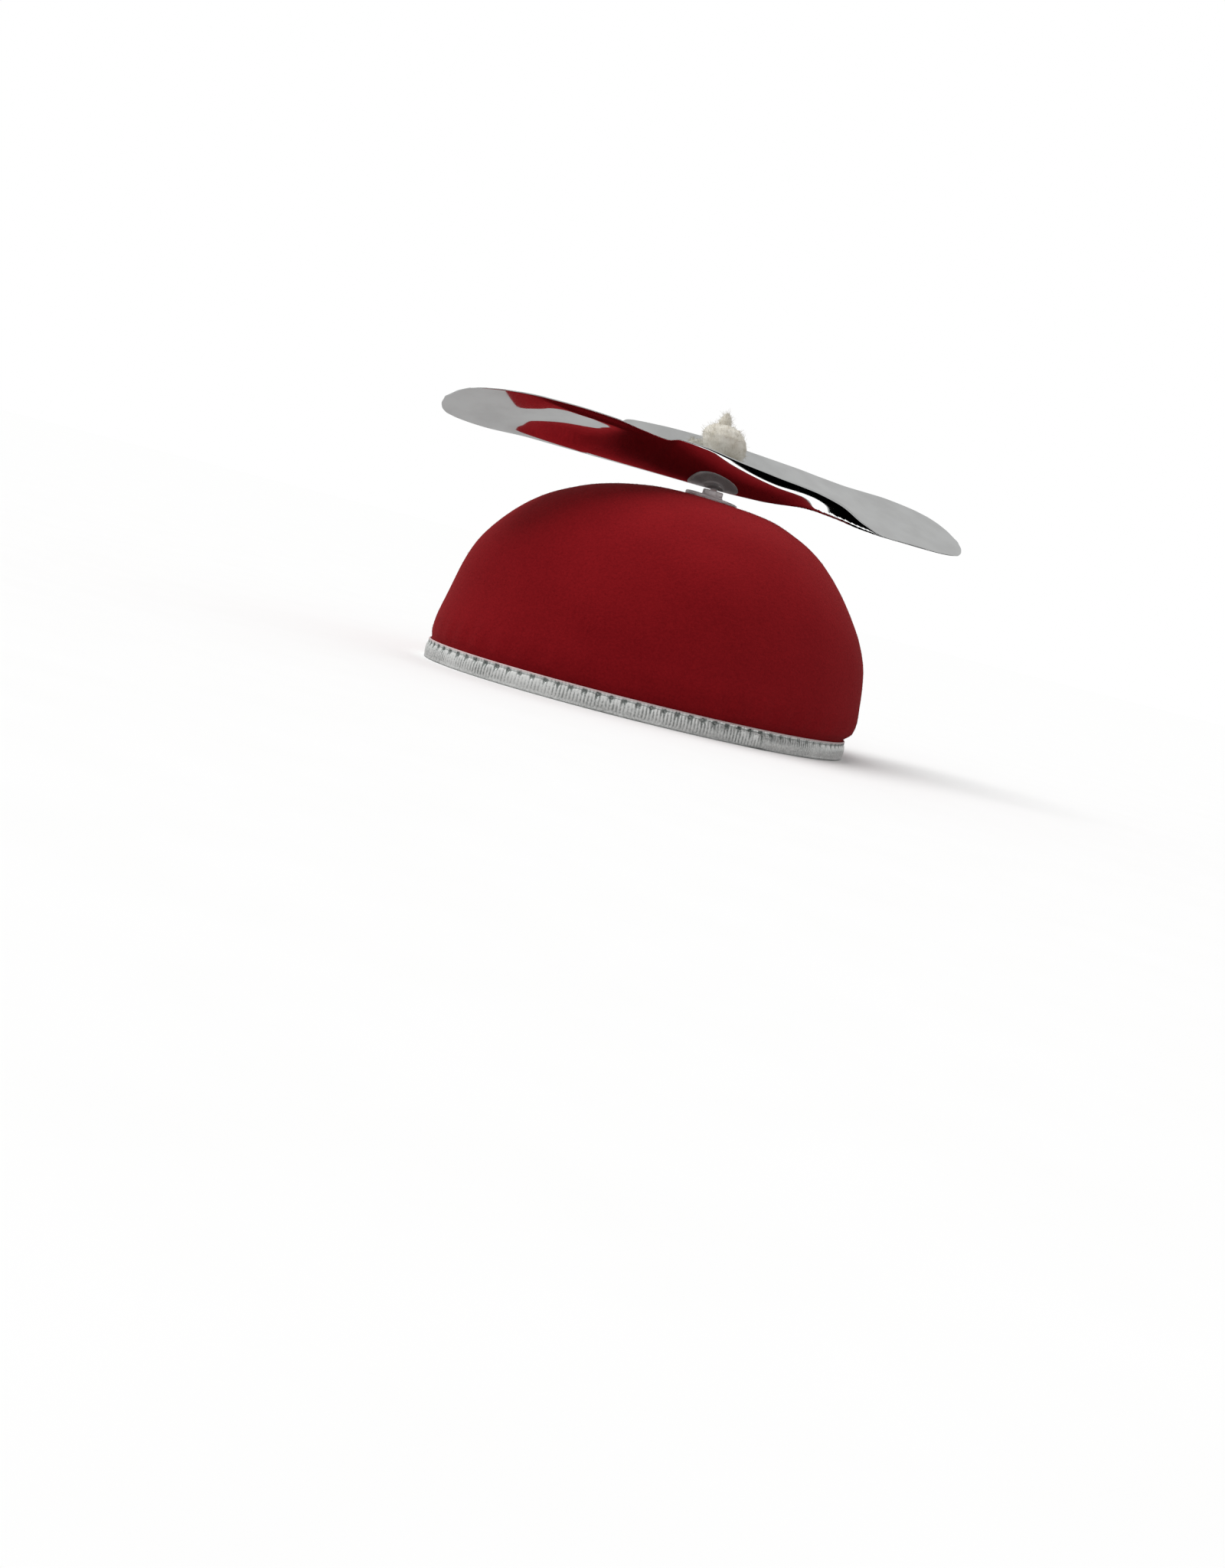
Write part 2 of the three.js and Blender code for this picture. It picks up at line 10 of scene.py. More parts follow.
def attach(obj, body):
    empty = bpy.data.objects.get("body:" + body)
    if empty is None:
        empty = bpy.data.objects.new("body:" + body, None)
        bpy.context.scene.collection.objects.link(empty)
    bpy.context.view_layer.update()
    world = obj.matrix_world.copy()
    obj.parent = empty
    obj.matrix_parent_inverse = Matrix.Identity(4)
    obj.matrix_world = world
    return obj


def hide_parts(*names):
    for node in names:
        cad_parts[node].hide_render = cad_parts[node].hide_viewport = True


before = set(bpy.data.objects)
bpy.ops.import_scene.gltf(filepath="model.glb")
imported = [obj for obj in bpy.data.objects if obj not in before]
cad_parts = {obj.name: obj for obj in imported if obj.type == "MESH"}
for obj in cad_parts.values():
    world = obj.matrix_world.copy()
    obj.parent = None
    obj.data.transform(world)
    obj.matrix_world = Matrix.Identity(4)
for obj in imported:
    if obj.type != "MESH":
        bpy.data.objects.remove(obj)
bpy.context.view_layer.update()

mm = 0.001
spindleBack = 11  # how far behind the middle of the rim the spindle stands
spindleLean = 2  # degrees towards the wearer's left

# The camera stands where the photograph's did, against the rim, and is rolled as it was
cameraPlace = {
    "target": (0, -11, 8),
    "azimuth": 61.7,
    "elevation": 3.4,
    "roll": 14.6,
    "distance": 850,
    "lens": 44.98,
    "shift": (-0.0168, -0.0612),
}


def placeCamera():
    side = math.radians(cameraPlace["azimuth"])
    rise = math.radians(cameraPlace["elevation"])
    roll = math.radians(cameraPlace["roll"])
    back = Vector((math.sin(side) * math.cos(rise), -math.cos(side) * math.cos(rise), math.sin(rise)))
    right = Vector((math.cos(side), math.sin(side), 0))
    up = back.cross(right)
    rolledRight = right * math.cos(roll) + up * math.sin(roll)
    rolledUp = up * math.cos(roll) - right * math.sin(roll)
    place = Vector(cameraPlace["target"]) * mm + back * cameraPlace["distance"] * mm
    data = bpy.data.cameras.new("hatCamera")
    data.lens = cameraPlace["lens"]
    data.sensor_width = 36
    data.shift_x, data.shift_y = cameraPlace["shift"]
    data.clip_start = 0.01
    camera = bpy.data.objects.new("hatCamera", data)
    axes = Matrix((rolledRight, rolledUp, back)).transposed().to_4x4()
    camera.matrix_world = Matrix.Translation(place) @ axes
    bpy.context.scene.collection.objects.link(camera)
    bpy.context.scene.camera = camera


placeCamera()
print("camera placed")


# Node trees: a wire is one socket's value, and sums of wires are written as Python
class Wire:
    def __init__(self, finish, socket):
        self.finish = finish
        self.socket = socket

    def sum(self, operation, *values):
        return self.finish.node("ShaderNodeMath", {"operation": operation}, dict(enumerate(values)))

    def __add__(self, other):
        return self.sum("ADD", self, other)

    def __sub__(self, other):
        return self.sum("SUBTRACT", self, other)

    def __mul__(self, other):
        return self.sum("MULTIPLY", self, other)

    def __rsub__(self, other):
        return self.sum("SUBTRACT", other, self)

    __radd__ = __add__

    def above(self, low, high):  # 0 below low, 1 over high, and smooth between
        settings = {"interpolation_type": "SMOOTHSTEP"}
        values = {"Value": self, "From Min": low, "From Max": high}
        return self.finish.node("ShaderNodeMapRange", settings, values)


class Finish:
    def __init__(self, tree):
        self.tree = tree
        self.tree.nodes.clear()

    def node(self, kind, settings, values, output=0):
        made = self.tree.nodes.new(kind)
        for name, value in settings.items():
            setattr(made, name, value)
        for name, value in values.items():
            if isinstance(value, Wire):
                self.tree.links.new(value.socket, made.inputs[name])
            else:
                made.inputs[name].default_value = value
        return Wire(self, made.outputs[output])

    def mixColour(self, factor, first, second):
        return self.node("ShaderNodeMix", {"data_type": "RGBA"}, {0: factor, 6: first, 7: second}, 2)

    def grain(self, place, scale, detail, stretch=None):
        if stretch:
            place = self.node("ShaderNodeMapping", {}, {"Vector": place, "Scale": stretch})
        return self.node("ShaderNodeTexNoise", {}, {"Vector": place, "Scale": scale, "Detail": detail})

    def bump(self, height, distance, strength=1):
        return self.node("ShaderNodeBump", {}, {"Height": height, "Distance": distance, "Strength": strength})

    def place(self):
        return self.node("ShaderNodeTexCoord", {}, {}, "Object")

    def attribute(self, name):
        return self.node("ShaderNodeAttribute", {"attribute_name": name}, {}, "Fac")

    def surface(self, values):
        self.end("ShaderNodeOutputMaterial", self.node("ShaderNodeBsdfPrincipled", {}, values))

    def end(self, kind, shader):
        end = self.tree.nodes.new(kind)
        self.tree.links.new(shader.socket, end.inputs["Surface"])


def newFinish(name):
    material = bpy.data.materials.new(name)
    material.use_nodes = True
    return material, Finish(material.node_tree)


def colour(red, green, blue):
    return (red, green, blue, 1)


# Meshes: rings of points make one closed skin, and a point closes each end
def skin(rings, firstEnd=None, lastEnd=None, loop=False):
    rings = np.asarray(rings, dtype=float)
    rows, columns = rings.shape[:2]
    points = rings.reshape(-1, 3).tolist()
    row = np.arange(rows if loop else rows - 1)[:, None]
    column = np.arange(columns)[None, :]
    nextRow = (row + 1) % rows
    nextColumn = (column + 1) % columns
    corners = [row * columns + column, row * columns + nextColumn]
    corners += [nextRow * columns + nextColumn, nextRow * columns + column]
    faces = np.stack(corners, axis=-1).reshape(-1, 4).tolist()
    if firstEnd is not None:
        points.append(list(firstEnd))
        faces += [[len(points) - 1, (j + 1) % columns, j] for j in range(columns)]
    if lastEnd is not None:
        points.append(list(lastEnd))
        start = (rows - 1) * columns
        faces += [[len(points) - 1, start + j, start + (j + 1) % columns] for j in range(columns)]
    return points, faces


def joined(skins):
    points, faces = [], []
    for morePoints, moreFaces in skins:
        start = len(points)
        points += morePoints
        faces += [[start + corner for corner in face] for face in moreFaces]
    return points, faces


def sixVolumes(points, faces):
    spots = np.asarray(points)
    first = np.array([face[:3] for face in faces])
    rest = [[face[0], face[2], face[3]] for face in faces if len(face) == 4]
    corners = spots[np.concatenate([first, np.array(rest, dtype=int).reshape(-1, 3)])]
    return np.einsum("ij,ij->i", corners[:, 0], np.cross(corners[:, 1], corners[:, 2])).sum()


def makePiece(name, shape, material, body, replaced=None):
    points, faces = shape
    if sixVolumes(points, faces) < 0:
        faces = [face[::-1] for face in faces]
    spots = np.asarray(points) * mm
    spots[:, 1] -= spindleBack * mm
    mesh = bpy.data.meshes.new(name)
    mesh.from_pydata(spots.tolist(), [], faces)
    mesh.shade_smooth()
    piece = bpy.data.objects.new(name, mesh)
    bpy.context.scene.collection.objects.link(piece)
    mesh.materials.append(material)
    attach(piece, body)
    if replaced:
        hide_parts(replaced)
    return piece


def addAttribute(piece, name, values):
    made = piece.data.attributes.new(name, "FLOAT", "POINT")
    made.data.foreach_set("value", np.asarray(values, dtype=np.float32))


def tube(path, radii, sides, squareTo=(0.13, 0.31, 0.94)):
    path = np.asarray(path, dtype=float)
    along = np.gradient(path, axis=0)
    along /= np.linalg.norm(along, axis=1)[:, None]
    aside = np.cross(along, squareTo)
    aside /= np.linalg.norm(aside, axis=1)[:, None]
    over = np.cross(along, aside)
    angle = np.linspace(0, 2 * math.pi, sides, endpoint=False)
    radii = np.asarray(radii, dtype=float)[:, None, None]
    rings = path[:, None, :] + radii * (aside[:, None, :] * np.cos(angle)[None, :, None]
                                        + over[:, None, :] * np.sin(angle)[None, :, None])
    firstEnd = path[0] - along[0] * radii[0, 0, 0] * 0.5
    lastEnd = path[-1] + along[-1] * radii[-1, 0, 0] * 0.5
    return skin(rings, firstEnd, lastEnd)


def smoothStep(values, low, high):
    share = np.clip((values - low) / (high - low), 0, 1)
    return share * share * (3 - 2 * share)


# Felt cap
cap = {
    "rimLength": 189,
    "rimWidth": 158,
    "rimEgg": 0.05,
    "crownHeight": 95,
    "feltThick": 2,
    "feltEdge": 1.4,  # height of the felt's lower edge, in the fold of the tape
    "tapeTop": 8,
    "dentDepth": 1.5,
    "puckerDepth": 0.3,  # small waves that the sewing draws in over the tape
    "puckerLength": 11,
    "waveDepth": 0.14,  # slow unevenness of moulded felt
    "holeWidth": 5.6,
    "turns": 260,
    "outerSteps": 9,  # rows from one section to the next
    "innerSteps": 3,
    "napHairs": 7000,
    "napLength": 1.1,
    "napThick": 0.045,
    "napFrom": 2.05,  # row, just over the tape
    "napRows": 10.8,
    "napCrowding": 1.15,  # the lower rows are wider round, so more hairs stand there
}

# rise from the tape to the crown, then shares of half the rim's length or width: front, back and side
capSections = [
    (0.0, 1.0, 1.0, 1.0),
    (0.045, 1.005, 1.04, 1.02),
    (0.11, 1.0, 1.05, 1.025),
    (0.21, 0.985, 1.045, 1.01),
    (0.35, 0.955, 1.025, 0.985),
    (0.5, 0.9, 0.975, 0.935),
    (0.63, 0.82, 0.9, 0.86),
    (0.75, 0.715, 0.8, 0.755),
    (0.85, 0.59, 0.68, 0.635),
    (0.92, 0.45, 0.55, 0.5),
    (0.97, 0.275, 0.41, 0.34),
    (0.993, 0.13, 0.2, 0.165),
    (1.0, 0.0, 0.0, 0.0),
]

# hollows and swellings from handling: degrees from the wearer's left towards the back, rise, share of the
# depth, half width in degrees and half height as a share
capDents = [
    (-78, 0.27, 0.8, 16, 0.1),
    (-62, 0.52, 0.6, 24, 0.12),
    (-20, 0.68, -0.5, 26, 0.14),
    (12, 0.4, 0.5, 30, 0.16),
    (62, 0.62, 0.9, 22, 0.14),
    (105, 0.3, -0.5, 26, 0.16),
    (150, 0.55, 0.7, 26, 0.16),
    (205, 0.34, 0.6, 24, 0.15),
    (248, 0.6, -0.6, 26, 0.14),
]

flangeDiameter = 23.5
flangeSink = 1.4  # how far the spindle's flange is drawn down into the felt

straightRows = [(cap["feltEdge"], 1, 1, 1), ((cap["feltEdge"] + cap["tapeTop"]) / 2, 1, 1, 1)]
domeHeight = cap["crownHeight"] - cap["tapeTop"]
domeRows = [(cap["tapeTop"] + domeHeight * rise, *shares) for rise, *shares in capSections]
capRows = np.array(straightRows + domeRows, dtype=float)
capTop = len(capRows) - 1
# one row more at each end carries the slopes: the crown's mirrored one makes it round
mirroredRow = capRows[-2] * np.array([1, -1, -1, -1])
capColumns = np.vstack([capRows[0], capRows, mirroredRow])


def easySlope(before, here, after):
    last, coming = here - before, after - here
    sameWay = last * coming > 0
    total = np.where(sameWay, last + coming, 1)
    return np.where(sameWay, 2 * last * coming / total, 0)


def smoothBetween(before, a, b, after, t):
    rising = easySlope(before, a, b) * t * (1 - t) ** 2
    arriving = easySlope(a, b, after) * t * t * (t - 1)
    return a * (1 + 2 * t) * (1 - t) ** 2 + rising + b * t * t * (3 - 2 * t) + arriving


def capColumn(column, place):
    i = np.clip(np.floor(place), 0, capTop - 1).astype(int)
    values = capColumns[:, column]
    return smoothBetween(values[i], values[i + 1], values[i + 2], values[i + 3], place - i)


def ovalPoint(front, back, side, turn):
    reach = np.where(np.sin(turn) < 0, front, back)
    x = cap["rimWidth"] / 2 * side * np.cos(turn) * (1 + cap["rimEgg"] * np.sin(turn))
    return x, cap["rimLength"] / 2 * reach * np.sin(turn)


def dentAt(turn, z):
    rise = (z - cap["tapeTop"]) / domeHeight
    fade = smoothStep(rise, 0.03, 0.22) * (1 - smoothStep(rise, 0.8, 0.93))
    depth = 0
    for dentTurn, dentRise, deep, wide, tall in capDents:
        across = np.sin((turn - math.radians(dentTurn)) / 2) / math.sin(math.radians(wide) / 2)
        depth = depth + deep * np.exp(-0.5 * (across ** 2 + ((rise - dentRise) / tall) ** 2))
    return cap["dentDepth"] * depth * fade


def smoothFeltPoint(turn, place):
    x, y = ovalPoint(capColumn(1, place), capColumn(2, place), capColumn(3, place), turn)
    z = capColumn(0, place) + 0 * turn
    fromSpindle = np.hypot(x, y - spindleBack) / flangeDiameter
    z = z - np.where(z > cap["crownHeight"] / 2, flangeSink * np.exp(-4 * fromSpindle ** 2), 0)
    return np.stack([x, y, z], axis=-1)


def feltNormal(turn, place):
    step = 1e-3
    roundCap = smoothFeltPoint(turn + step, place) - smoothFeltPoint(turn - step, place)
    upCap = smoothFeltPoint(turn, place + step) - smoothFeltPoint(turn, np.maximum(place - step, 0))
    normal = np.cross(roundCap, upCap)
    return normal / np.linalg.norm(normal, axis=-1)[..., None]


def feltPoint(turn, place, outset):
    point = smoothFeltPoint(turn, place)
    z = point[..., 2]
    rise = (z - cap["tapeTop"]) / domeHeight
    girth = (cap["rimLength"] + cap["rimWidth"]) * math.pi / 2
    count = round(girth / cap["puckerLength"])
    puckers = np.sin(turn * count + 2 * np.sin(3 * turn)) * (0.6 + 0.4 * np.sin(5 * turn + 1))
    pucker = cap["puckerDepth"] * puckers * smoothStep(rise, 0.0, 0.05) * (1 - smoothStep(rise, 0.06, 0.2))
    x, y = point[..., 0], point[..., 1]
    wave = np.sin(x / 7.3 + 1) * np.sin(y / 8.9) + np.sin(z / 6.1 + y / 12.7)
    wave = cap["waveDepth"] * wave * smoothStep(rise, 0.02, 0.12) * (1 - smoothStep(rise, 0.86, 0.94))
    push = outset - dentAt(turn, z) + pucker + wave
    return point + feltNormal(turn, place) * push[..., None]


def makeFeltCap(felt):
    turn = np.linspace(0, 2 * math.pi, cap["turns"], endpoint=False)[None, :]

    def rings(steps, outset):
        place = np.linspace(0, capTop, capTop * steps + 1)[:-1, None]
        return feltPoint(turn, place, outset)

    outer = rings(cap["outerSteps"], 0)[::-1]
    inner = rings(cap["innerSteps"], -cap["feltThick"])
    crown = capRows[-1][0] - flangeSink * math.exp(-4 * (spindleBack / flangeDiameter) ** 2)
    ends = [(0, 0, crown), (0, 0, crown - cap["feltThick"])]
    shape = skin(np.concatenate([outer, inner]), *ends)
    piece = makePiece("feltCap", shape, felt, "hat", "cap_shell")
    cutHole(piece, cap["holeWidth"] / 2, cap["crownHeight"])
    return piece


# A round hole on the spindle's axis, cut through a finished piece
def cutHole(piece, radius, height):
    angle = np.linspace(0, 2 * math.pi, 32, endpoint=False)
    reach = 12
    rings = [[(radius * math.cos(a), radius * math.sin(a), z) for a in angle] for z in (-reach, reach)]
    points, faces = skin(rings, (0, 0, -reach), (0, 0, reach))
    mesh = bpy.data.meshes.new("punch")
    lean = Matrix.Rotation(math.radians(spindleLean), 4, "Y")
    mesh.from_pydata([lean @ (Vector(p) * mm) + Vector((0, 0, height * mm)) for p in points], [], faces)
    punch = bpy.data.objects.new("punch", mesh)
    bpy.context.scene.collection.objects.link(punch)
    cut = piece.modifiers.new("hole", "BOOLEAN")
    cut.operation = "DIFFERENCE"
    cut.solver = "EXACT"
    cut.object = punch
    graph = bpy.context.evaluated_depsgraph_get()
    holed = bpy.data.meshes.new_from_object(piece.evaluated_get(graph))
    piece.modifiers.clear()
    holed.name = piece.data.name
    piece.data = holed
    bpy.data.objects.remove(punch)


def makeNap(felt):
    chance = random.Random(7)
    hairs = []
    turns = np.array([chance.uniform(0, 2 * math.pi) for _ in range(cap["napHairs"])])
    heights = np.array([chance.random() for _ in range(cap["napHairs"])])
    places = cap["napFrom"] + cap["napRows"] * heights ** cap["napCrowding"]
    roots = feltPoint(turns, places, -0.03)
    normals = feltNormal(turns, places)
    for root, normal in zip(roots, normals):
        if math.hypot(root[0], root[1] - spindleBack) < flangeDiameter * 0.6:
            continue
        drift = np.array([chance.gauss(0, 1) for _ in range(3)])
        drift -= normal * drift.dot(normal)
        drift /= np.linalg.norm(drift)
        length = cap["napLength"] * chance.uniform(0.4, 1)
        lift = chance.uniform(0.2, 0.75)
        middle = root + length * (0.5 * drift + 0.5 * lift * normal)
        tip = root + length * (drift + 0.55 * lift * normal)
        thick = cap["napThick"] / 2
        hairs.append(tube([root, middle, tip], [thick, thick, thick * 0.4], 3, normal + 0.2 * drift))
    return makePiece("feltNap", joined(hairs), felt, "hat")


def feltFinish():
    material, finish = newFinish("redFelt")
    place = finish.place()
    mottle = finish.grain(place, 55, 3)
    fleck = finish.grain(place, 900, 3)
    fibreA = finish.grain(place, 1500, 2, (0.22, 1, 1))
    fibreB = finish.grain(place, 1500, 2, (1, 0.25, 0.8))
    fibre = fibreA * 0.5 + fibreB * 0.5
    shade = (mottle - 0.5) * 0.3 + (fleck - 0.5) * 0.45 + (fibre - 0.5) * 0.8 + 0.5
    base = finish.mixColour(shade.above(0.12, 0.88), colour(0.2, 0.004, 0.0075), colour(0.3, 0.0085, 0.0125))
    relief = fibre * 0.7 + fleck * 0.5
    finish.surface({
        "Base Color": base,
        "Roughness": 0.92,
        "Normal": finish.bump(relief, 0.00035, 0.55),
        "Specular IOR Level": 0.06,
        "Sheen Weight": 0.1,
        "Sheen Roughness": 0.5,
        "Sheen Tint": colour(1, 0.2, 0.2),
    })
    return material


redFelt = feltFinish()
feltCap = makeFeltCap(redFelt)
print("felt cap made,", len(feltCap.data.polygons), "faces")
feltNap = makeNap(redFelt)
print("nap made,", len(feltNap.data.polygons), "faces")


# Binding tape, folded over the felt's edge and sewn through
binding = {
    "ribLength": 1.45,
    "ribDepth": 0.17,
    "ribFacets": 6,
    "stitchLength": 5.4,
    "puffDepth": 0.5,
    "dimpleDepth": 0.45,
    "dimpleWidth": 1.0,
    "threadHeight": 6.5,
    "threadOutset": 0.92,
    "threadInset": 3.42,  # inside the cap
    "threadThick": 0.24,
    "calmFrom": 12.5,  # degrees, behind the folded end the tape is one smooth layer
    "calmTo": 48,
    "calmFade": 10,
    "paintedShadeBelow": -0.3,  # relief at which the painted shade is darkest, and at which the painted highlight is brightest
    "paintedHighlightOver": 0.14,
    "selvedgeFrom": 7.1,
    "selvedgeTo": 7.7,
}

# the tape's outline from its top edge outside, under the fold and up inside, then back down beside the felt:
# height, outset from the felt, and shares of rib, puff and dimple
tapeOutline = [
    (7.85, 0.36, 0.0, 0.0, 0.0),
    (8.0, 0.6, 0.0, 0.0, 0.0),
    (7.85, 0.92, 0.1, 0.0, 0.0),
    (7.45, 1.0, 0.3, 0.05, 0.1),
    (7.0, 0.93, 0.5, 0.15, 0.5),
    (6.6, 0.86, 0.5, 0.3, 1.0),
    (6.2, 0.92, 0.7, 0.75, 0.9),
    (5.75, 1.08, 0.8, 1.0, 0.5),
    (5.2, 1.27, 1.0, 0.5, 0.1),
    (4.5, 1.42, 1.0, 0.12, 0.0),
    (3.6, 1.5, 1.0, 0.0, 0.0),
    (2.7, 1.5, 1.0, 0.0, 0.0),
    (1.9, 1.44, 0.9, 0.0, 0.0),
    (1.35, 1.36, 0.5, 0.0, 0.0),
    (1.0, 1.37, 0.1, 0.0, 0.0),
    (0.6, 1.42, 0.0, 0.0, 0.0),
    (0.22, 1.3, 0.0, 0.0, 0.0),
    (0.0, 0.85, 0.0, 0.0, 0.0),
    (0.0, -0.9, 0.2, 0.0, 0.0),
    (0.0, -2.7, 0.0, 0.0, 0.0),
    (0.3, -3.2, 0.0, 0.0, 0.0),
    (1.2, -3.4, 0.4, 0.0, 0.0),
    (3.4, -3.42, -0.8, 0.0, 0.0),
    (5.6, -3.36, -0.8, -0.4, 0.0),
    (6.5, -3.2, -0.4, 0.0, -0.6),
    (7.3, -3.28, -0.2, 0.0, 0.0),
    (7.8, -3.1, 0.0, 0.0, 0.0),
    (7.7, -2.5, 0.0, 0.0, 0.0),
    (1.1, -2.25, 0.0, 0.0, 0.0),
    (1.1, 0.25, 0.0, 0.0, 0.0),
]


def rimPoint(turn, outset, z):
    step = 1e-3
    x, y = ovalPoint(1, 1, 1, turn)
    aheadX, aheadY = ovalPoint(1, 1, 1, turn + step)
    behindX, behindY = ovalPoint(1, 1, 1, turn - step)
    tangentX, tangentY = aheadX - behindX, aheadY - behindY
    size = np.hypot(tangentX, tangentY)
    return np.stack([x + tangentY / size * outset, y - tangentX / size * outset, z + 0 * x], axis=-1)


# Turns that lie evenly along the rim, by its own length from the wearer's left
rimTurns = np.linspace(-2 * math.pi, 2 * math.pi, 14401)
rimX, rimY = ovalPoint(1, 1, 1, rimTurns)
rimArcs = np.concatenate([[0], np.cumsum(np.hypot(np.diff(rimX), np.diff(rimY)))])
rimArcs -= np.interp(0, rimTurns, rimArcs)
rimGirth = np.interp(2 * math.pi, rimTurns, rimArcs)
ribCount = round(rimGirth / binding["ribLength"])
stitchCount = round(rimGirth / binding["stitchLength"])


def turnAt(arc):
    return np.interp(arc, rimArcs, rimTurns)


def arcAt(degrees):
    return np.interp(math.radians(degrees), rimTurns, rimArcs)


# How far the ribs, puffs and stitch dimples push the tape out at a place along the rim
def tapeRelief(arc, rib, puff, dimple):
    ribWave = np.cos(2 * math.pi * ribCount * arc / rimGirth + 0.5 * np.sin(arc / 7))
    stitch = arc * stitchCount / rimGirth
    fromStitch = np.abs(stitch - np.round(stitch)) * binding["stitchLength"]
    puffed = np.abs(np.sin(math.pi * stitch)) ** 0.8 - 0.6
    uneven = 1 + 0.3 * np.sin(arc / 9.7) * np.sin(arc / 23) + 0.25 * np.sin(arc * 1.17) * np.sin(arc / 3.3)
    dimpled = np.exp(-(fromStitch / binding["dimpleWidth"]) ** 2) * uneven
    relief = binding["ribDepth"] * ribWave * rib * (0.8 + 0.35 * np.sin(arc / 2.9) * np.sin(arc / 5.3))
    relief = relief + binding["puffDepth"] * puffed * puff * uneven
    return relief - binding["dimpleDepth"] * dimpled * dimple


def calmAt(arc):
    start, stop = arcAt(binding["calmFrom"]), arcAt(binding["calmTo"])
    return smoothStep(arc, start - 0.5, start + 0.5) * (1 - smoothStep(arc, stop, stop + binding["calmFade"]))


def makeTape(tape):
    arc = np.linspace(0, rimGirth, ribCount * binding["ribFacets"], endpoint=False)[None, :]
    rows = np.array(tapeOutline)[:, :, None]
    calm = calmAt(arc)
    smoothBelow = 1 - calm * np.where(rows[:, 0] < 5, 0.85, 0.35)
    rib = rows[:, 2] * smoothBelow
    puff = rows[:, 3] * (1 - 0.7 * calm)
    dimple = rows[:, 4] * (1 - 0.5 * calm)
    relief = tapeRelief(arc, rib, puff, dimple)
    rings = rimPoint(turnAt(arc), rows[:, 1] + relief, rows[:, 0])
    piece = makePiece("rimTape", skin(rings, loop=True), tape, "hat", "rim_binding")
    # the relief is kept on the points, and the finish paints shade and highlight from it
    addAttribute(piece, "relief", relief.ravel())
    return piece


def makeThread(thread):
    stitches = []
    each = rimGirth / stitchCount
    for i in range(stitchCount):
        for inside in (False, True):
            share = np.linspace(0, 1, 9)
            arc = (i + 0.06 + 0.88 * share) * each
            sink = 0.28 * np.abs(2 * share - 1) ** 4
            outset = sink * 0.5 - binding["threadInset"] if inside else binding["threadOutset"] - sink
            path = rimPoint(turnAt(arc), outset, binding["threadHeight"] + 0.12 * np.sin(math.pi * share))
            stitches.append(tube(path, [binding["threadThick"] / 2] * 9, 6, (0, 0, 1)))
    return makePiece("tapeThread", joined(stitches), thread, "hat")


tapeEnd = {
    "length": 17,
    "turn": 12.5,
    "fold": 3.8,
    "foldThick": 1.3,
    "layerThick": 0.75,
    "bottom": 0.7,
    "top": 6.1,
    "inside": 1.2,
}


# The folded end lies on the outside, and its front runs into the tape
def makeTapeEnd(tape):
    stations = np.concatenate([np.linspace(tapeEnd["length"], tapeEnd["fold"] + 0.5, 56),
                               np.linspace(tapeEnd["fold"], 0.25, 14), [0.1, 0.02]])
    angle = np.linspace(0, 2 * math.pi, 40, endpoint=False)
    arcEnd = arcAt(tapeEnd["turn"])
    lowFade = smoothStep(stations, 0, 0.35)
    rings, reliefs = [], []
    for back, full in zip(stations, lowFade):
        folded = 1 - smoothStep(back, tapeEnd["fold"] - 0.3, tapeEnd["fold"] + 0.7)
        rising = 1 - smoothStep(back, tapeEnd["length"] * 0.35, tapeEnd["length"])
        thick = tapeEnd["layerThick"] * rising + (tapeEnd["foldThick"] - tapeEnd["layerThick"]) * folded
        thick = 0.25 + thick * (0.55 + 0.45 * full)
        tall = (tapeEnd["top"] - tapeEnd["bottom"]) / 2 * (0.9 + 0.1 * full) * (1 - 0.1 * folded)
        middle = (tapeEnd["top"] + tapeEnd["bottom"]) / 2 - 0.35 * folded
        outWay = np.sign(np.cos(angle)) * np.abs(np.cos(angle)) ** 0.35
        upWay = np.sign(np.sin(angle)) * np.abs(np.sin(angle)) ** 0.6
        outer = np.clip(np.cos(angle), 0, 1) ** 0.4
        arc = arcEnd - back
        rib = outer * (1 - 0.75 * folded)
        puff = outer * np.clip(upWay, 0, 1) * (1 - folded)
        relief = tapeRelief(arc + 0 * angle, rib, puff, 0 * angle)
        crease = -0.16 * outer * math.exp(-((back - tapeEnd["fold"] - 0.2) / 0.35) ** 2)
        outset = tapeEnd["inside"] + thick / 2 * (1 + outWay) + relief + crease
        rings.append(rimPoint(turnAt(arc + 0 * angle), outset, middle + tall * upWay))
        # the crease goes into the stored relief too, so the finish paints shade along the fold
        reliefs += (relief + crease).tolist()
    rings = np.array(rings)
    piece = makePiece("tapeEnd", skin(rings, rings[0].mean(axis=0), rings[-1].mean(axis=0)), tape,
                      "hat", "binding_end")
    addAttribute(piece, "relief", reliefs + [0, 0])
    return piece


